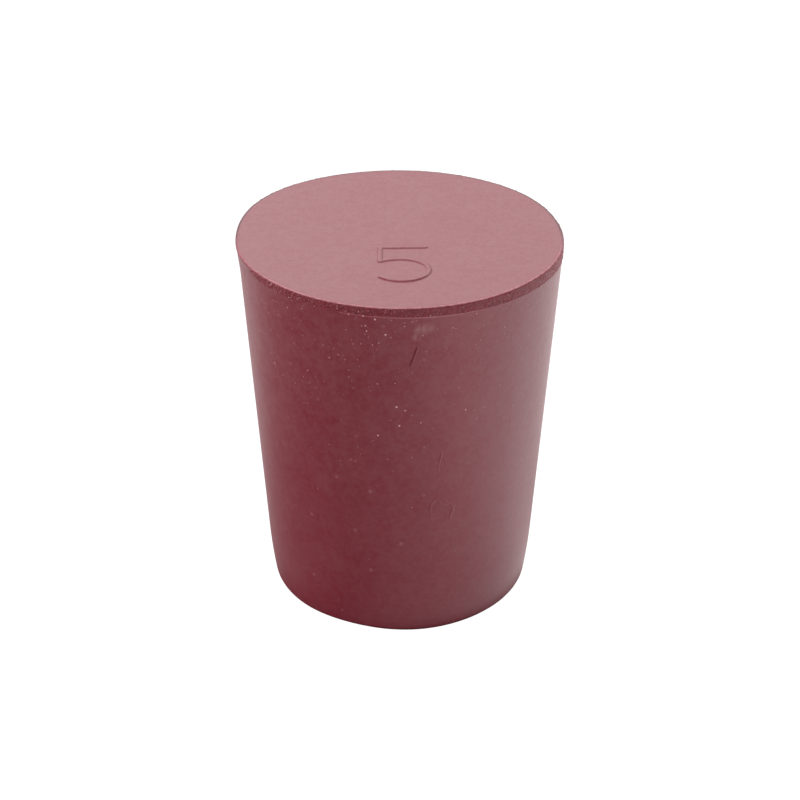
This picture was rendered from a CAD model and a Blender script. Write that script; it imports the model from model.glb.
import math

import bmesh
import bpy
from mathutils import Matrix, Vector, noise


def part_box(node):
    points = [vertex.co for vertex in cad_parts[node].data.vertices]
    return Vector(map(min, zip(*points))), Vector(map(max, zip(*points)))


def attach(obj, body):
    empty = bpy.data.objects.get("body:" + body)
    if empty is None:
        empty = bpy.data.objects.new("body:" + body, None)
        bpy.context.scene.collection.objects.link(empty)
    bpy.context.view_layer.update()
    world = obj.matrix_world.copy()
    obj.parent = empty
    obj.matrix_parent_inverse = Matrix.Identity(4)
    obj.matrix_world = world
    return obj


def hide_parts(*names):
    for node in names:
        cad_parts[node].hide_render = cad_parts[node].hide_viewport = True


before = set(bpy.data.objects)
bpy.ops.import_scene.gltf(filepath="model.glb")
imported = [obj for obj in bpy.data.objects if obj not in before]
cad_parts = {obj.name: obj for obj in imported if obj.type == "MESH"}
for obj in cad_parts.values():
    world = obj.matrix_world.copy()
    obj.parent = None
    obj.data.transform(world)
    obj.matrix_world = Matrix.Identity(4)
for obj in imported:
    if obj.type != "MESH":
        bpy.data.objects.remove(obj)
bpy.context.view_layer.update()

# ---------------------------------------------------------------------------
# The moulded plug
# A solid taper of firm red rubber, pressed in one piece in a steel mould. It draws in
# a little towards the small end, so that it starts easily in a neck, and stands on
# that end. Its shape repeats the solid model's, whose overall sizes are read here.
# ---------------------------------------------------------------------------
MM = 0.001
low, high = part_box("stopper")
HEIGHT = high.z
RIM_R = (high.y - low.y) / 2
SMALL_END_R = 9.95 * MM  # radius that the straight taper would have at the small end
LEAD_H = 4.3 * MM  # over this height the side draws in towards the foot
LEAD_IN = 0.22 * MM  # how far it has drawn in at the foot
LEAD_ROWS = 5
FOOT_EDGE_R = 0.8 * MM
BAND_H = 0.73 * MM  # mean height of the band that the trimming knife leaves
TAPER = (RIM_R - SMALL_END_R) / (HEIGHT - BAND_H)
COLUMNS = 1440  # faces round the plug, each about 0.05 mm wide

# The foot isn't quite round: each (depth, turn from +X, spread) says how far it is worn,
# or how much fuller it is where the depth is negative
FOOT_WEAR = ((0.3 * MM, -116, 13), (-0.1 * MM, -75, 14))

# Heights between which the side carries a mark, in finer rows
FOLD_ROWS = (10.3 * MM, 13.0 * MM)
HAIRLINE_ROWS = (14.6 * MM, 16.8 * MM)
NICK_ROWS = (23.9 * MM, 25.9 * MM)
PLAIN_ROW = 20 * MM  # a row on the plain stretch between the last two


def side_r(z):
    """Radius of the moulded side at a height, without the foot's rounded edge."""
    drawn_in = max(0.0, (LEAD_H - z) / LEAD_H)
    return SMALL_END_R + TAPER * z - LEAD_IN * drawn_in**2


def foot_edge(steps):
    """Radius and height of each ring of the rounded edge round the small end's face."""
    lean = math.atan(TAPER + 2 * LEAD_IN / LEAD_H)
    centre_r = side_r(FOOT_EDGE_R) - FOOT_EDGE_R / math.cos(lean)
    for step in range(steps + 1):
        turn = -math.pi / 2 + (math.pi / 2 - lean) * step / steps
        yield centre_r + FOOT_EDGE_R * math.cos(turn), FOOT_EDGE_R * (1 + math.sin(turn))


def pull_up(radius, z):
    """Extrudes the selected end face to a height, and gives it a radius."""
    mesh = bmesh.from_edit_mesh(bpy.context.object.data)
    corner = next(v.co for v in mesh.verts if v.select)
    rise, growth = z - corner.z, radius / corner.xy.length
    bpy.ops.mesh.extrude_region_move(TRANSFORM_OT_translate={"value": (0, 0, rise)})
    bpy.ops.transform.resize(value=(growth, growth, 1), center_override=(0, 0, 0))


bpy.ops.object.select_all(action="DESELECT")
foot_rings = list(foot_edge(steps=8))
bpy.ops.mesh.primitive_circle_add(
    vertices=COLUMNS, radius=foot_rings[0][0], fill_type="NGON", location=(0, 0, 0)
)
plug = bpy.context.object
plug.name = "rubber_stopper"
plug.data.name = "rubber_stopper"
bpy.ops.object.mode_set(mode="EDIT")
for radius, z in foot_rings[1:]:
    pull_up(radius, z)
for row in range(1, LEAD_ROWS + 1):
    z = FOOT_EDGE_R + (LEAD_H - FOOT_EDGE_R) * row / LEAD_ROWS
    pull_up(side_r(z), z)
for z in (*FOLD_ROWS, *HAIRLINE_ROWS, PLAIN_ROW, *NICK_ROWS):
    pull_up(side_r(z), z)

# ---------------------------------------------------------------------------
# The trimmed rim
# A round knife takes off the skirt of waste that the mould leaves round the large end,
# and leaves an upright, rough-cut band. The cut runs a little off the plug's axis. The rim
# stands proud at the back left, and at the left it leans out and is rubbed smooth.
# ---------------------------------------------------------------------------
KNIFE_X = (high.x + low.x) / 2  # the knife runs this far off the axis
RIM_EDGE_R = 0.12 * MM
BAND_ROWS = 10
BURR_H = 0.03 * MM  # the ragged edge that the knife leaves at the band's foot
BURR_ROW = 0.04 * MM  # it rises from the side over this height
BURR_GAP = 0.7 * MM  # distance from one ragged stretch to the next
BURR_FILL = 0.3  # lifts the ragged edge, so that it runs along most of the band's foot
BURR_TURNS = (-21, 45)  # between these turns it is rubbed pale, in degrees from the front
SMOOTH_TURNS = (-105, -63)  # between these turns the band is rubbed smooth
PATCH = 0.3 * MM  # size of the torn patches that are left where the smooth stretch ends
PATCHY_TURN = 14  # degrees over which they thin out
SWELL_H = 1.6 * MM  # height over which the side swells out to the proud rim
SWELL_ROWS = 3
LIP_R = RIM_R - 0.2 * MM  # rings on the large face, inside the rim's edge
FACE_R = RIM_R - 0.5 * MM
TINY = 0.005 * MM  # places closer than this are on the same row

# Where the rim is uneven, each (size, turn from +X, spread): how far the knife strays up, or
# down where that is negative, how far the rim stands out, and how far it leans out
WAVER = ((-0.12 * MM, -14, 11),)
PROUD = ((0.45 * MM, 145, 22), (0.08 * MM, 38, 12), (0.04 * MM, -18, 10))
FLARE = ((0.165 * MM, -161, 11), (0.04 * MM, -18, 10))


def round_about(place, bumps):
    """The height of some smooth bumps, each (height, turn from +X, spread), at a place."""
    turn = math.degrees(math.atan2(place.y, place.x))
    ways = [(height, math.remainder(turn - at, 360) / spread) for height, at, spread in bumps]
    return sum(height * math.exp(-0.5 * away**2) for height, away in ways)


def cut_foot(place):
    """Height at which the knife's upright cut meets the taper, in the direction of a place."""
    straight = (RIM_R + KNIFE_X * place.x / place.xy.length - SMALL_END_R) / TAPER
    return straight + round_about(place, WAVER)


def rim_edge(steps):
    """Radius and height of each ring of the small edge above the band."""
    for step in range(steps + 1):
        turn = math.pi / 2 * step / steps
        yield (
            RIM_R - RIM_EDGE_R * (1 - math.cos(turn)),
            HEIGHT - RIM_EDGE_R * (1 - math.sin(turn)),
        )


band_foot = HEIGHT - BAND_H
band_top = HEIGHT - RIM_EDGE_R
swell_foot = band_foot - SWELL_H
burr_foot = band_foot - 3 * BURR_ROW
for row in range(SWELL_ROWS):
    z = swell_foot + SWELL_H * row / SWELL_ROWS
    pull_up(side_r(z), z)
for z in (burr_foot, band_foot - BURR_ROW):
    pull_up(side_r(z), z)
for row in range(BAND_ROWS + 1):
    pull_up(RIM_R, band_foot + (band_top - band_foot) * row / BAND_ROWS)
for radius, z in list(rim_edge(steps=4))[1:]:
    pull_up(radius, z)
pull_up(LIP_R, HEIGHT)
pull_up(FACE_R, HEIGHT)
bpy.ops.mesh.delete(type="ONLY_FACE")
bpy.ops.object.mode_set(mode="OBJECT")


def turn_of(place):
    """Degrees round the plug from its front, -Y, towards +X."""
    return math.degrees(math.atan2(place.x, -place.y))


def keep_rows(name, wanted):
    """Keeps the vertices whose place passes a test, for the finish that they get later."""
    rows = plug.vertex_groups.new(name=name)
    rows.add([v.index for v in plug.data.vertices if wanted(v.co)], 1.0, "REPLACE")


def is_cut(place):
    """Whether a place is on the band, where the knife's grain shows."""
    turn = turn_of(place) + PATCHY_TURN * noise.noise(place / PATCH)
    smooth = SMOOTH_TURNS[0] < turn < SMOOTH_TURNS[1]
    return place.z > band_foot - TINY and place.xy.length > RIM_R - RIM_EDGE_R / 2 and not smooth


def is_burr(place):
    """Whether a place is on the stretch of the band's foot that is rubbed pale."""
    row_below = band_foot - BURR_ROW
    row_above = band_foot + (band_top - band_foot) / BAND_ROWS
    pale = BURR_TURNS[0] < turn_of(place) < BURR_TURNS[1]
    return row_below - TINY < place.z < row_above + TINY and pale


keep_rows("band", is_cut)
keep_rows("torn", lambda p: is_cut(p) and p.z > band_foot + TINY)
keep_rows("lip", lambda p: p.z > HEIGHT - RIM_EDGE_R / 2 and p.xy.length > LIP_R - TINY)
keep_rows("burr", is_burr)

for vertex in plug.data.vertices:
    place = vertex.co
    if place.z < FOOT_EDGE_R:
        worn = round_about(place, FOOT_WEAR) * (1 - place.z / FOOT_EDGE_R) ** 2
        place.xy -= place.xy.normalized() * worn

# The band's rows move with the knife, and its lowest row follows the line where the
# upright cut meets the taper, with a ragged burr.
for vertex in plug.data.vertices:
    place = vertex.co
    if place.z > band_foot - TINY:
        place.x += KNIFE_X
        if place.z < band_top - TINY:
            share = (place.z - band_foot) / (band_top - band_foot)
            is_lowest = share < 0.5 / BAND_ROWS
            place.z = cut_foot(place) + (band_top - cut_foot(place)) * share
            if is_lowest:
                ragged = noise.noise(place / BURR_GAP)
                place.xy += place.xy.normalized() * BURR_H * max(0, ragged + BURR_FILL)
    elif place.z > burr_foot - TINY:
        place.z += cut_foot(place) - band_foot
        place.xy *= side_r(place.z) / place.xy.length
    if place.z > swell_foot:
        swell = min(1.0, (place.z - swell_foot) / SWELL_H)
        proud = round_about(place, PROUD) * swell * swell * (3 - 2 * swell)
        lean = min(1.0, max(0.0, (place.z - cut_foot(place)) / (band_top - cut_foot(place))))
        place.xy += place.xy.normalized() * (proud + round_about(place, FLARE) * lean)

# The knife tears the rubber a little: the band is grainy, and its grains break the
# rim's edge.
GRAIN = 0.15 * MM
GRAIN_DEPTH = 0.13 * MM
grains = bpy.data.textures.new("knife grain", "CLOUDS")
grains.noise_scale = GRAIN
grains.noise_depth = 2
bpy.ops.object.modifier_add(type="DISPLACE")
torn = bpy.context.object.modifiers[-1]
torn.texture = grains
torn.texture_coords = "LOCAL"
torn.vertex_group = "torn"
torn.strength = GRAIN_DEPTH
torn.mid_level = 0.5
bpy.ops.object.modifier_apply(modifier=torn.name)

# ---------------------------------------------------------------------------
# The size number
# A plain 5 stands about 0.1 mm proud of the large end, a little more at its foot. It
# was cut into the mould's cover by hand with a fine tool.
# ---------------------------------------------------------------------------
NUMBER_H = 0.082 * MM
FOOT_RISE = 0.35  # the share by which its foot stands higher than its top
NUMBER_CORE = 0.09 * MM  # half width of the stroke's flat top
NUMBER_EDGE = 0.26 * MM  # half width of the stroke's foot
BOWL_X, BOWL_Y = 0.07 * MM, -5.885 * MM
BOWL_HALF_W, BOWL_HALF_H = 1.96 * MM, 1.775 * MM
BOWL_START_HALF_W = 2.5 * MM  # the bowl starts on a flatter curve than it ends
BOWL_START_X, BOWL_END_X = -1.5 * MM, -1.42 * MM
BOWL_STEPS = 64
CORNER = Vector((-1.5, -2.21)) * MM
BAR_END = Vector((1.8, -2.1)) * MM
# Corners of the finely divided part of the face that carries the number
PLATE_LOW = Vector((-1.85, -7.95)) * MM
PLATE_HIGH = Vector((2.35, -1.8)) * MM
PLATE_CELL = 0.03 * MM
NEAR = "near the line"  # the vertex group that a press works on


def draw_line(points):
    """Draws a line of edges through the points, one vertex after another."""
    bpy.ops.object.select_all(action="DESELECT")
    bpy.ops.mesh.primitive_plane_add(size=MM, location=points[0])
    bpy.ops.object.mode_set(mode="EDIT")
    bpy.ops.mesh.select_mode(type="VERT")
    bpy.ops.mesh.merge(type="CENTER")
    for start, end in zip(points, points[1:]):
        step = Vector(end) - Vector(start)
        bpy.ops.mesh.extrude_region_move(TRANSFORM_OT_translate={"value": step})
    bpy.ops.object.mode_set(mode="OBJECT")
    bpy.ops.object.transform_apply()
    return bpy.context.object


def press(piece, line, core, edge, height):
    """Raises a piece's surface along a drawn line, or sinks it where the height is negative.
    The height is full within the core's half width, and ends at the edge's."""
    bpy.ops.object.select_all(action="DESELECT")
    bpy.context.view_layer.objects.active = piece
    piece.select_set(True)
    near = piece.vertex_groups.new(name=NEAR)
    near.add(range(len(piece.data.vertices)), 1.0, "REPLACE")
    bpy.ops.object.modifier_add(type="VERTEX_WEIGHT_PROXIMITY")
    weigh = piece.modifiers[-1]
    weigh.vertex_group = NEAR
    weigh.target = line
    weigh.proximity_mode = "GEOMETRY"
    weigh.proximity_geometry = {"EDGE"}
    weigh.min_dist = edge
    weigh.max_dist = core
    weigh.falloff_type = "SMOOTH"
    bpy.ops.object.modifier_apply(modifier=weigh.name)
    bpy.ops.object.modifier_add(type="DISPLACE")
    push = piece.modifiers[-1]
    push.vertex_group = NEAR
    push.strength = height
    push.mid_level = 0
    bpy.ops.object.modifier_apply(modifier=push.name)
    piece.vertex_groups.remove(piece.vertex_groups[NEAR])
    bpy.data.objects.remove(line)


def pick(kind, wanted):
    """Selects the open mesh's elements of one kind ("VERT", "EDGE", "FACE") that pass a test."""
    bpy.ops.mesh.select_mode(type=kind)
    bpy.ops.mesh.select_all(action="DESELECT")
    mesh = bmesh.from_edit_mesh(bpy.context.object.data)
    elements = {"VERT": mesh.verts, "EDGE": mesh.edges, "FACE": mesh.faces}[kind]
    for element in elements:
        element.select_set(wanted(element))
    mesh.select_flush_mode()
    bmesh.update_edit_mesh(bpy.context.object.data)


bowl_start = math.acos((BOWL_START_X - BOWL_X) / BOWL_START_HALF_W)
bowl_end = -math.acos((BOWL_END_X - BOWL_X) / BOWL_HALF_W)
stroke = [(*BAR_END, HEIGHT), (*CORNER, HEIGHT)]
for step in range(BOWL_STEPS + 1):
    turn = bowl_start + (bowl_end - bowl_start) * step / BOWL_STEPS
    half_w = BOWL_START_HALF_W if math.cos(turn) < 0 < turn else BOWL_HALF_W
    stroke.append((BOWL_X + half_w * math.cos(turn), BOWL_Y + BOWL_HALF_H * math.sin(turn), HEIGHT))
number_line = draw_line(stroke)

plate_size = PLATE_HIGH - PLATE_LOW
bpy.ops.object.select_all(action="DESELECT")
bpy.ops.mesh.primitive_grid_add(
    x_subdivisions=round(plate_size.x / PLATE_CELL),
    y_subdivisions=round(plate_size.y / PLATE_CELL),
    size=1,
    location=(*(PLATE_LOW + PLATE_HIGH) / 2, HEIGHT),
)
plate = bpy.context.object
bpy.ops.transform.resize(value=(*plate_size, 1))
bpy.ops.object.transform_apply()
press(plate, number_line, NUMBER_CORE, NUMBER_EDGE, NUMBER_H)
for vertex in plate.data.vertices:
    down = (PLATE_HIGH.y - vertex.co.y) / plate_size.y
    vertex.co.z += (vertex.co.z - HEIGHT) * FOOT_RISE * down**2

# The plate is joined to the plug by the plain ring of face round it
plug.select_set(True)
bpy.context.view_layer.objects.active = plug
bpy.ops.object.join()
bpy.ops.object.mode_set(mode="EDIT")
pick("EDGE", lambda edge: edge.is_boundary)
bpy.ops.mesh.bridge_edge_loops()
bpy.ops.object.mode_set(mode="OBJECT")

# ---------------------------------------------------------------------------
# Marks on the side
# A short nick under the rim, where an edge has cut the rubber, and lower down two fine
# raised lines and a small crumple, where the rubber folded as it filled the mould.
# ---------------------------------------------------------------------------
LINE_CORE = 0.01 * MM  # half width of a fine line's deepest or highest part
NICK_EDGE = 0.055 * MM  # half width of the nick at the surface
LIP_TURN = 0.55  # degrees from the nick to the lip that it has pushed up on its right
LIP_EDGE = 0.07 * MM
LIP_H = 0.02 * MM
HAIRLINE_EDGE = 0.08 * MM
FOLD_CORE = 0.02 * MM
FOLD_EDGE = 0.12 * MM
SHARP = math.radians(40)  # edges sharper than this stay crisp

# A place on the side is (degrees from the front, height in mm)
NICK = ((5.51, 25.68), (5.06, 25.33), (4.43, 24.89), (3.8, 24.49), (3.13, 24.11))
# The nick is deeper towards its top: each (how many of its places, from the top, depth)
NICK_CUTS = ((5, 0.07 * MM), (3, 0.04 * MM), (2, 0.06 * MM))
# Raised lines, each (height in mm, its places)
HAIRLINES = (
    (0.028, ((15.6, 16.5), (15.2, 15.95), (14.6, 15.4), (14.5, 14.95))),
    (0.014, ((17.0, 16.0), (17.7, 15.3))),
)
FOLDS = (
    (0.036, (
        (11.9, 11.3), (11.8, 11.7), (12.3, 12.1), (13.5, 12.4), (15.0, 12.5), (16.5, 12.4), (17.9, 12.2),
    )),
    (0.045, ((15.3, 12.1), (16.8, 11.9), (19.6, 11.9))),
    (0.036, ((20.1, 11.7), (21.3, 11.5), (21.1, 11.2), (20.4, 10.9), (20.2, 10.5))),
    (0.012, ((12.1, 11.2), (12.5, 10.5))),
)


def on_side(degrees, z_mm):
    """The point of the moulded side at a turn from the front and a height."""
    radius, turn = side_r(z_mm * MM), math.radians(degrees)
    return Vector((radius * math.sin(turn), -radius * math.cos(turn), z_mm * MM))


def draw_on_side(places):
    """Draws a line along the side through some places."""
    return draw_line([on_side(*place) for place in places])


def fine_rows(rows, first, last, row_cuts, face_cuts):
    """Cuts the side into finer faces between two heights, from one turn to another."""
    low_z, high_z = rows[0] - 2 * TINY, rows[1] + 2 * TINY

    def inside(element):
        places = [v.co for v in element.verts]
        return all(low_z < p.z < high_z and first < turn_of(p) < last for p in places)

    bpy.ops.object.select_all(action="DESELECT")
    plug.select_set(True)
    bpy.context.view_layer.objects.active = plug
    bpy.ops.object.mode_set(mode="EDIT")
    pick("EDGE", lambda edge: abs(edge.verts[0].co.z - edge.verts[1].co.z) > MM and inside(edge))
    bpy.ops.mesh.subdivide(number_cuts=row_cuts)
    if face_cuts:
        pick("FACE", inside)
        bpy.ops.mesh.subdivide(number_cuts=face_cuts)
    bpy.ops.object.mode_set(mode="OBJECT")


fine_rows(NICK_ROWS, first=1.6, last=7.4, row_cuts=24, face_cuts=1)
for count, depth in NICK_CUTS:
    press(plug, draw_on_side(NICK[:count]), LINE_CORE, NICK_EDGE, -depth)
lip = [(degrees + LIP_TURN, z_mm) for degrees, z_mm in NICK]
press(plug, draw_on_side(lip), LINE_CORE, LIP_EDGE, LIP_H)

fine_rows(HAIRLINE_ROWS, first=13.6, last=18.4, row_cuts=24, face_cuts=1)
for rise_mm, places in HAIRLINES:
    press(plug, draw_on_side(places), LINE_CORE, HAIRLINE_EDGE, rise_mm * MM)

fine_rows(FOLD_ROWS, first=9.9, last=22.6, row_cuts=30, face_cuts=0)
for rise_mm, places in FOLDS:
    press(plug, draw_on_side(places), FOLD_CORE, FOLD_EDGE, rise_mm * MM)

bpy.ops.object.shade_smooth_by_angle(angle=SHARP)
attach(plug, "root")
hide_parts("stopper")

# ---------------------------------------------------------------------------
# The rubber
# Dull red vulcanised rubber, the same all through. The mould gives the side and the
# small end a smooth satin skin, the cover gives the large end a finer, paler one, and
# the knife leaves bare grain. A pale bloom clouds the skin, and dust clings to it.
# ---------------------------------------------------------------------------
RUBBER_RED = (0.254, 0.020, 0.039, 1)
CUT_RED = (0.3, 0.015, 0.032, 1)
TORN_RED = (0.1, 0.01, 0.018, 1)
RUBBED_RED = (0.58, 0.22, 0.26, 1)
GRIME = (0.13, 0.045, 0.05, 1)
BLOOM = (0.36, 0.13, 0.14, 1)
SCRAPED = (0.5, 0.23, 0.24, 1)
SMUDGE = (0.12, 0.01, 0.02, 1)
DUST = (0.9, 0.5, 0.52, 1)
CUT_SHEEN = (1, 0.3, 0.35, 1)
SMUDGE_SHARE = 0.4
PIMPLE_SHARE = 0.17
FOOT_BLOOM = 0.5  # share of the bloom that is left at the small end
STREAK = 0.25 * MM  # width of the streaks in a scuff
STREAK_SCALE = (1, 1, 0.4)  # stretches their pattern along Z, so that they run up and down
STREAK_SHARES = (0.1, 0.6)  # how much they show, at least and at most
DRIFT = 4 * MM  # size of the drifts that dust gathers in
DRIFT_SHARES = (0.3, 1.3)
DUSTY_H = 13 * MM  # over this height under the rim, more and more dust clings
LOW_DUST = 0.05  # share of the dust that clings below that
DUST_ROUGHNESS = 0.9


def put(tree, kind, inputs=None, **settings):
    """Adds a node of a kind, with its settings, and gives its inputs a value or a link."""
    node = tree.nodes.new("ShaderNode" + kind)
    for name, value in settings.items():
        setattr(node, name, value)
    for socket, value in (inputs or {}).items():
        if isinstance(value, bpy.types.NodeSocket):
            tree.links.new(value, node.inputs[socket])
        else:
            node.inputs[socket].default_value = value
    return node


def reckon(tree, operation, *values):
    """The result of a sum, product or other operation on some values."""
    return put(tree, "Math", dict(enumerate(values)), operation=operation).outputs[0]


def times(tree, first, second):
    """The product of two values."""
    return reckon(tree, "MULTIPLY", first, second)


def ramp(tree, value, start, end, low=0.0, high=1.0, kind="LINEAR"):
    """A value that goes from low to high as another goes from start to end."""
    ends = {"Value": value, "From Min": start, "From Max": end, "To Min": low, "To Max": high}
    return put(tree, "MapRange", ends, interpolation_type=kind).outputs["Result"]


def layer(tree, under, over, mask):
    """A colour that goes from one colour to another where a mask says so."""
    return put(tree, "Mix", {"Factor": mask, 6: under, 7: over}, data_type="RGBA").outputs[2]


def new_group(name, **wanted):
    """Makes a shader node group with named inputs and a mask, and returns it and its two ends."""
    group = bpy.data.node_groups.new(name, "ShaderNodeTree")
    for label, kind in wanted.items():
        group.interface.new_socket(label, in_out="INPUT", socket_type="NodeSocket" + kind)
    group.interface.new_socket("Mask", in_out="OUTPUT", socket_type="NodeSocketFloat")
    return group, group.nodes.new("NodeGroupInput").outputs, group.nodes.new("NodeGroupOutput").inputs


def masked(tree, group, **inputs):
    """The mask of a node group, with its inputs."""
    return put(tree, "Group", inputs, node_tree=group).outputs["Mask"]


# Cloud: soft patches of a given size, from 0 to 1
cloud, ask, answer = new_group("cloud", Place="Vector", Size="Float")
fineness = reckon(cloud, "DIVIDE", 1.0, ask["Size"])
patches = put(cloud, "TexNoise", {"Vector": ask["Place"], "Scale": fineness, "Detail": 3.0})
spread = ramp(cloud, patches.outputs["Fac"], 0.3, 0.7, kind="SMOOTHSTEP")
cloud.links.new(spread, answer["Mask"])

# Specks: scattered round spots in a share of the cells, one to a cell
specks, ask, answer = new_group("specks", Place="Vector", Cell="Float", Radius="Float", Share="Float")
fineness = reckon(specks, "DIVIDE", 1.0, ask["Cell"])
cells = put(specks, "TexVoronoi", {"Vector": ask["Place"], "Scale": fineness}).outputs
distance = times(specks, cells["Distance"], ask["Cell"])
chance = put(specks, "SeparateColor", {0: cells["Color"]}).outputs
filled = reckon(specks, "LESS_THAN", chance[1], ask["Share"])
size = ramp(specks, chance[0], 0.0, 1.0, 0.4, 1.0)
radius = times(specks, times(specks, ask["Radius"], size), filled)
core = times(specks, radius, 0.4)
specks.links.new(ramp(specks, distance, radius, core), answer["Mask"])


def spots(name, marks, core):
    """A group that masks round marks on the side, each (degrees, z_mm, r_mm), full within a core."""
    group, ask, answer = new_group(name, Place="Vector")
    found = 0.0
    for degrees, z_mm, r_mm in marks:
        points = {0: ask["Place"], 1: on_side(degrees, z_mm)}
        away = put(group, "VectorMath", points, operation="DISTANCE").outputs["Value"]
        mark = ramp(group, away, r_mm * MM, core * r_mm * MM, kind="SMOOTHSTEP")
        found = reckon(group, "MAXIMUM", found, mark)
    group.links.new(found, answer["Mask"])
    return group


# The larger grains of dust, each where it clings
LINT = (
    (-8.5, 27.9, 0.09), (-11.4, 26.9, 0.07), (-5.0, 26.7, 0.09), (-13.5, 25.8, 0.045),
    (-9.5, 25.8, 0.05), (-7.3, 26.0, 0.05), (-25.4, 24.2, 0.055), (-21.9, 24.6, 0.045),
    (-8.0, 22.6, 0.05), (-1.8, 22.7, 0.045), (-1.3, 20.7, 0.1), (1.8, 20.4, 0.07),
    (24.3, 19.9, 0.09), (1.4, 27.4, 0.06), (17.9, 27.0, 0.055), (-0.3, 19.1, 0.09),
    (-8.1, 18.2, 0.08), (7.5, 19.3, 0.06), (28.1, 19.7, 0.04), (32.0, 19.7, 0.04),
    (7.7, 26.6, 0.05), (26.5, 27.8, 0.07), (38.7, 26.0, 0.06), (10.0, 28.2, 0.05),
    (33.5, 28.4, 0.07), (-12.5, 28.1, 0.07), (-17.5, 28.1, 0.06), (-14.0, 28.4, 0.05),
    (-21.5, 28.4, 0.05), (-41.0, 28.2, 0.05),
)
lint = spots("lint", LINT, core=0.5)
# A pale scuff above the nick
SCUFF = ((6.3, 27.1, 0.6), (8.0, 27.1, 0.75), (9.6, 27.2, 0.6), (5.4, 26.5, 0.5))
scuff = spots("scuff", SCUFF, core=0.0)
# Dark smudges low on the right
SMUDGES = ((34.5, 7.9, 0.3), (37.9, 11.7, 0.2), (50.0, 7.8, 0.2))
smudges = spots("smudges", SMUDGES, core=0.0)
# Pale pimples in the skin, where it stretched over a trapped bubble
PIMPLES = (
    (-38.0, 9.8, 0.22), (-18.0, 9.5, 0.22), (0.5, 8.6, 0.25), (-12.0, 6.0, 0.22),
    (-39.5, 4.1, 0.2), (-11.5, 13.2, 0.25), (-18.7, 15.8, 0.18), (-17.0, 15.7, 0.16),
    (-25.0, 14.0, 0.2), (9.3, 12.9, 0.16), (8.9, 25.3, 0.14), (8.1, 24.6, 0.17),
)
pimples = spots("pimples", PIMPLES, core=0.0)


def rubber_finish(name, base, roughness, blooms, dusts, grains, shine=0.5, sheen=0.0, shifts=()):
    """A rubber material, with the levels of its shine and its sheen. Each bloom is (colour, share,
    size of its clouds), each dust (size of its cells, radius, share of the cells, strength), and
    each grain (size, depth). Each shift is (colour, axis, start, end, share): the colour comes in
    between two places along an axis."""
    material = bpy.data.materials.new(name)
    material.use_nodes = True
    tree = material.node_tree
    shader = tree.nodes["Principled BSDF"]
    place = put(tree, "TexCoord").outputs["Object"]
    along = put(tree, "SeparateXYZ", {0: place}).outputs
    colour = base
    bloomed = ramp(tree, along["Z"], 0.0, HEIGHT, FOOT_BLOOM, 1.0)
    for pale, share, size in blooms:
        patches = times(tree, masked(tree, cloud, Place=place, Size=size), bloomed)
        colour = layer(tree, colour, pale, times(tree, patches, share))
    for other, axis, start, end, share in shifts:
        colour = layer(tree, colour, other, ramp(tree, along[axis], start, end, 0.0, share))

    # A scuff is scraped in streaks
    stretched = put(tree, "VectorMath", {0: place, 1: STREAK_SCALE}, operation="MULTIPLY").outputs[0]
    streaks = put(tree, "TexNoise", {"Vector": stretched, "Scale": 1 / STREAK, "Detail": 3.0})
    streaked = ramp(tree, streaks.outputs["Fac"], 0.35, 0.65, *STREAK_SHARES)
    scraped = times(tree, masked(tree, scuff, Place=place), streaked)
    colour = layer(tree, colour, SCRAPED, scraped)
    colour = layer(tree, colour, SMUDGE, times(tree, masked(tree, smudges, Place=place), SMUDGE_SHARE))
    colour = layer(tree, colour, DUST, times(tree, masked(tree, pimples, Place=place), PIMPLE_SHARE))

    # Dust gathers in drifts, and more of it under the rim
    drift = ramp(tree, masked(tree, cloud, Place=place, Size=DRIFT), 0.0, 1.0, *DRIFT_SHARES)
    drift = times(tree, drift, ramp(tree, along["Z"], HEIGHT - DUSTY_H, HEIGHT, LOW_DUST, 1.0))
    dusty = masked(tree, lint, Place=place)
    for cell, radius, share, strength in dusts:
        filled = times(tree, drift, share)
        spotted = masked(tree, specks, Place=place, Cell=cell, Radius=radius, Share=filled)
        dusty = reckon(tree, "MAXIMUM", dusty, times(tree, spotted, strength))
    tree.links.new(layer(tree, colour, DUST, dusty), shader.inputs["Base Color"])
    tree.links.new(ramp(tree, dusty, 0.0, 1.0, roughness, DUST_ROUGHNESS), shader.inputs["Roughness"])
    shader.inputs["Specular IOR Level"].default_value = shine
    shader.inputs["Sheen Weight"].default_value = sheen
    shader.inputs["Sheen Tint"].default_value = CUT_SHEEN
    normal = None
    for size, depth in grains:
        grain = put(tree, "TexNoise", {"Vector": place, "Scale": 1 / size, "Detail": 2.0})
        bump = put(tree, "Bump", {"Height": grain.outputs["Fac"], "Distance": depth, "Strength": 1.0})
        if normal:
            tree.links.new(normal, bump.inputs["Normal"])
        normal = bump.outputs["Normal"]
    tree.links.new(normal, shader.inputs["Normal"])
    return material


skin = rubber_finish(
    "moulded skin", RUBBER_RED, 0.43,
    blooms=((BLOOM, 0.12, 3 * MM), (BLOOM, 0.18, 0.9 * MM), (BLOOM, 0.2, 0.35 * MM)),
    dusts=(
        (0.6 * MM, 0.075 * MM, 0.5, 0.8), (0.3 * MM, 0.075 * MM, 0.6, 0.38),
        (1.1 * MM, 0.25 * MM, 0.6, 0.08),
    ),
    grains=((0.12 * MM, 0.002 * MM), (0.7 * MM, 0.003 * MM), (3 * MM, 0.02 * MM)),
)
cover_skin = rubber_finish(
    "cover skin", RUBBER_RED, 0.43,
    blooms=((BLOOM, 0.09, 3 * MM), (BLOOM, 0.14, 0.7 * MM), (BLOOM, 0.2, 0.25 * MM)),
    dusts=((1.5 * MM, 0.07 * MM, 0.3, 0.5), (0.5 * MM, 0.09 * MM, 0.4, 0.12)),
    grains=((0.1 * MM, 0.003 * MM), (0.8 * MM, 0.005 * MM)),
)
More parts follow.
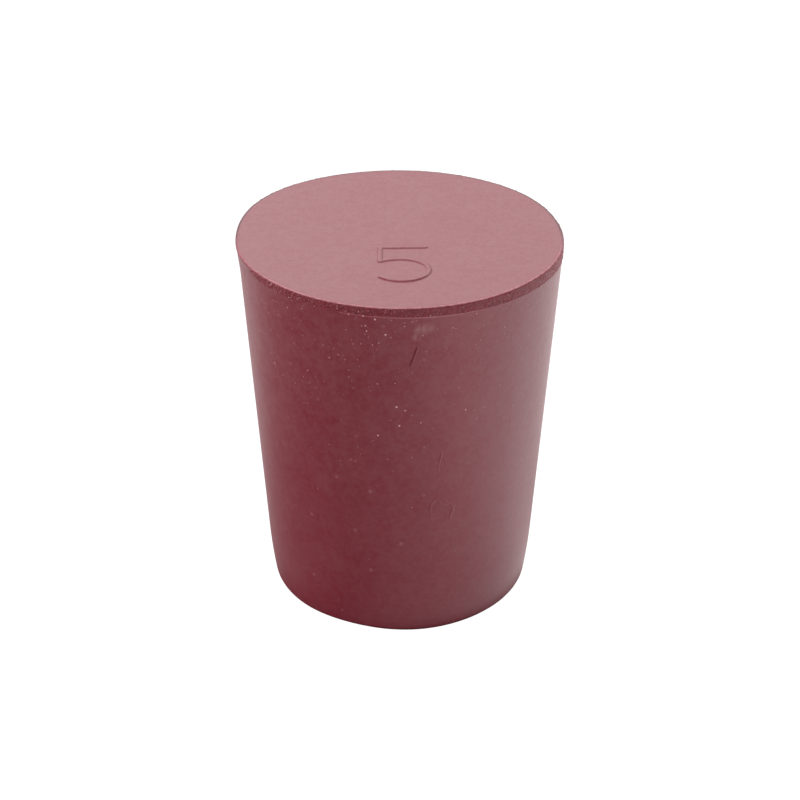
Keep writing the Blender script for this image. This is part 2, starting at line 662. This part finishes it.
bare = rubber_finish(
    "knife-cut grain", CUT_RED, 0.5,
    blooms=((BLOOM, 0.3, 0.3 * MM), (TORN_RED, 0.8, 0.12 * MM)),
    dusts=((0.2 * MM, 0.06 * MM, 0.6, 0.5), (0.35 * MM, 0.065 * MM, 0.6, 0.9)),
    grains=((0.12 * MM, 0.05 * MM),), shine=0.43, sheen=0.4,
    shifts=((RUBBED_RED, "X", 8 * MM, 10.5 * MM, 0.13),),
)
rubbed = rubber_finish(
    "rubbed edge", RUBBED_RED, 0.5,
    blooms=((RUBBER_RED, 0.5, 0.4 * MM),),
    dusts=((0.3 * MM, 0.06 * MM, 0.4, 0.8),),
    grains=((0.1 * MM, 0.01 * MM),), shine=0.3,
    shifts=((RUBBER_RED, "X", -10.5 * MM, -11.5 * MM, 0.4), (GRIME, "Y", -3 * MM, 1 * MM, 0.9)),
)
burr = rubber_finish(
    "burr", RUBBED_RED, 0.5,
    blooms=((RUBBER_RED, 0.2, 0.4 * MM),),
    dusts=((0.3 * MM, 0.06 * MM, 0.4, 0.8),),
    grains=((0.1 * MM, 0.01 * MM),), shine=0.3,
    shifts=((RUBBER_RED, "X", 3.5 * MM, -3 * MM, 0.64), (RUBBER_RED, "X", 3.5 * MM, 7 * MM, 0.5)),
)
for finish in (skin, cover_skin, bare, rubbed, burr):
    plug.data.materials.append(finish)


def coat(finish, rows=None):
    """Gives a finish to the selected faces, or to those between kept rows."""
    if rows:
        bpy.ops.mesh.select_mode(type="VERT")
        bpy.ops.mesh.select_all(action="DESELECT")
        plug.vertex_groups.active_index = plug.vertex_groups[rows].index
        bpy.ops.object.vertex_group_select()
    plug.active_material_index = plug.data.materials.find(finish.name)
    bpy.ops.object.material_slot_assign()


# The large end has the cover's skin, and the side keeps the first finish
bpy.ops.object.mode_set(mode="EDIT")
pick("FACE", lambda face: face.calc_center_median().z > HEIGHT - RIM_EDGE_R / 2)
coat(cover_skin)
coat(bare, "band")
coat(rubbed, "lip")
coat(burr, "burr")
bpy.ops.object.mode_set(mode="OBJECT")

# ---------------------------------------------------------------------------
# Studio
# A white paper sweep that reads as pure white, with a soft contact shadow, and large
# softboxes. The paper is brighter to the right, and the rubber's skin mirrors that.
# ---------------------------------------------------------------------------
PAPER = (0.7, 0.7, 0.7, 1)
PAPER_WHITE = 1.2  # the strength at which the camera sees it as pure white
SHADOW_SHARE = 0.12  # how much of its real light and shadow the camera sees
ROOM_LEVEL = 0.22  # the light that the room itself gives
ROOM_MIRRORED = 0.77  # how bright the room looks in the rubber's skin

# How bright the paper looks in the rubber's skin, by turn from the front towards +X
GLOW = (
    (-90, 0.13), (-74, 0.02), (-30, 0), (0, 0.46), (30, 0.87), (60, 1), (90, 0.92),
    (120, 0.3), (238, 0.33), (252, 0.16), (270, 0.13),
)
GLOW_LEVEL = 1.43
# It looks brighter still to the right and behind: each (axis, start, end, how much brighter)
BRIGHTER = (
    ("X", 10 * MM, 25 * MM, 0.74), ("Y", -5 * MM, 25 * MM, 0.55), ("X", 33 * MM, 48 * MM, 0.25),
)
# Between these distances from the axis the plug's own shade on the paper ends
SHADE_EDGE = (SMALL_END_R - 0.3 * MM, SMALL_END_R + 1.0 * MM)
# Left of the foot the paper looks a little brighter, and that fades away further out
LEFT_LEVEL = 0.22
LEFT_EDGE = (-8 * MM, -11 * MM)
LEFT_FADE = (12 * MM, 23 * MM)

bpy.ops.object.select_all(action="DESELECT")
bpy.ops.mesh.primitive_plane_add(size=2, location=(0, 0, 0))
floor = bpy.context.object
floor.name = "paper_floor"
paper = bpy.data.materials.new("white paper")
paper.use_nodes = True
tree = paper.node_tree
matt = tree.nodes["Principled BSDF"]
matt.inputs["Base Color"].default_value = PAPER
matt.inputs["Roughness"].default_value = 1
matt.inputs["Specular IOR Level"].default_value = 0
place = put(tree, "TexCoord").outputs["Object"]
across = put(tree, "SeparateXYZ", {0: place}).outputs
around = put(tree, "TexGradient", {"Vector": place}, gradient_type="RADIAL").outputs["Fac"]
glow = put(tree, "ValToRGB", {"Fac": around}).outputs["Color"]
stops = glow.node.color_ramp.elements
while len(stops) < len(GLOW):
    stops.new(1)
for stop, (turn, share) in zip(stops, GLOW):
    stop.position = (turn + 90) / 360
    stop.color = (share, share, share, 1)
beside = 0.0
for axis, start, end, more in BRIGHTER:
    beside = reckon(tree, "ADD", beside, ramp(tree, across[axis], start, end, 0.0, more))
bright = reckon(tree, "MULTIPLY_ADD", glow, GLOW_LEVEL, beside)
from_axis = put(tree, "VectorMath", {0: place}, operation="LENGTH").outputs["Value"]
unshaded = ramp(tree, from_axis, *SHADE_EDGE)
on_left = ramp(tree, across["X"], *LEFT_EDGE, 0.0, LEFT_LEVEL)
left = times(tree, on_left, ramp(tree, from_axis, *LEFT_FADE, 1.0, 0.0))
level = reckon(tree, "MULTIPLY_ADD", bright, unshaded, left)
sheen = put(tree, "Emission", {"Strength": level}).outputs[0]
white = put(tree, "Emission", {"Strength": PAPER_WHITE}).outputs[0]
paths = put(tree, "LightPath").outputs
lit = put(tree, "MixShader", {0: SHADOW_SHARE, 1: white, 2: matt.outputs[0]}).outputs[0]
seen = put(tree, "MixShader", {0: paths["Is Camera Ray"], 1: matt.outputs[0], 2: lit}).outputs[0]
mirrored = put(tree, "MixShader", {0: paths["Is Glossy Ray"], 1: seen, 2: sheen}).outputs[0]
tree.links.new(mirrored, tree.nodes["Material Output"].inputs["Surface"])
floor.data.materials.append(paper)

world = bpy.data.worlds.new("studio")
bpy.context.scene.world = world
world.use_nodes = True
tree = world.node_tree
paths = put(tree, "LightPath").outputs
room = ramp(tree, paths["Is Glossy Ray"], 0.0, 1.0, ROOM_LEVEL, ROOM_MIRRORED)
backdrop = tree.nodes["Background"]
backdrop.inputs["Color"].default_value = (1, 1, 1, 1)
tree.links.new(reckon(tree, "MAXIMUM", room, paths["Is Camera Ray"]), backdrop.inputs["Strength"])

LAMP_AWAY = 0.45


def softbox(name, turn, rise, width, height, level, lights=True):
    """A flat soft lamp that faces the plug, at a turn from its front and a rise, in degrees. The
    level says how bright it looks. With lights=False it shows only in the rubber's skin."""
    turn, rise = math.radians(turn), math.radians(rise)
    aim = Vector((0, 0, HEIGHT / 2))
    place = aim + LAMP_AWAY * Vector(
        (math.cos(rise) * math.sin(turn), -math.cos(rise) * math.cos(turn), math.sin(rise))
    )
    bpy.ops.object.light_add(type="AREA", location=place)
    lamp = bpy.context.object
    lamp.name = name
    lamp.data.shape = "RECTANGLE"
    lamp.data.size = width
    lamp.data.size_y = height
    lamp.data.energy = level * math.pi * width * height
    lamp.visible_diffuse = lights
    lamp.rotation_euler = (aim - place).to_track_quat("-Z", "Y").to_euler()


softbox("left softbox", -90, 15, 0.35, 0.30, 2.07)
softbox("front left softbox", -35, 20, 0.30, 0.30, 1.42)
softbox("back left softbox", -152, 33, 0.30, 0.30, 1.21)
softbox("back right softbox", 148, 39, 0.30, 0.25, 1.40)
softbox("overhead softbox", 180, 75, 0.35, 0.35, 2.1)
softbox("back reflector", 180, 36, 0.40, 0.22, 2.2, lights=False)

# ---------------------------------------------------------------------------
# Camera
# It looks down on the large end from the front at about 30 degrees, through a long lens
# that is close enough to show the plug's taper stronger than it is.
# ---------------------------------------------------------------------------
CAMERA_AWAY = 176.6 * MM  # from the plug's middle
CAMERA_RISE = math.radians(29.354)
CAMERA_ROLL = math.radians(0.137)
CAMERA_AIM = Vector((-0.016 * MM, 0, 14.87 * MM))
SENSOR_W = 36  # in mm, as the lens is
LENS = 103.5

centre = Vector((0, 0, HEIGHT / 2))
place = centre + CAMERA_AWAY * Vector((0, -math.cos(CAMERA_RISE), math.sin(CAMERA_RISE)))
bpy.ops.object.camera_add(location=place)
camera = bpy.context.object
camera.data.sensor_width = SENSOR_W
camera.data.lens = LENS
camera.data.clip_start = 0.01
camera.rotation_euler = (CAMERA_AIM - place).to_track_quat("-Z", "Y").to_euler()
camera.rotation_euler.rotate_axis("Z", CAMERA_ROLL)
bpy.context.scene.camera = camera
bpy.context.scene.view_settings.view_transform = "Standard"
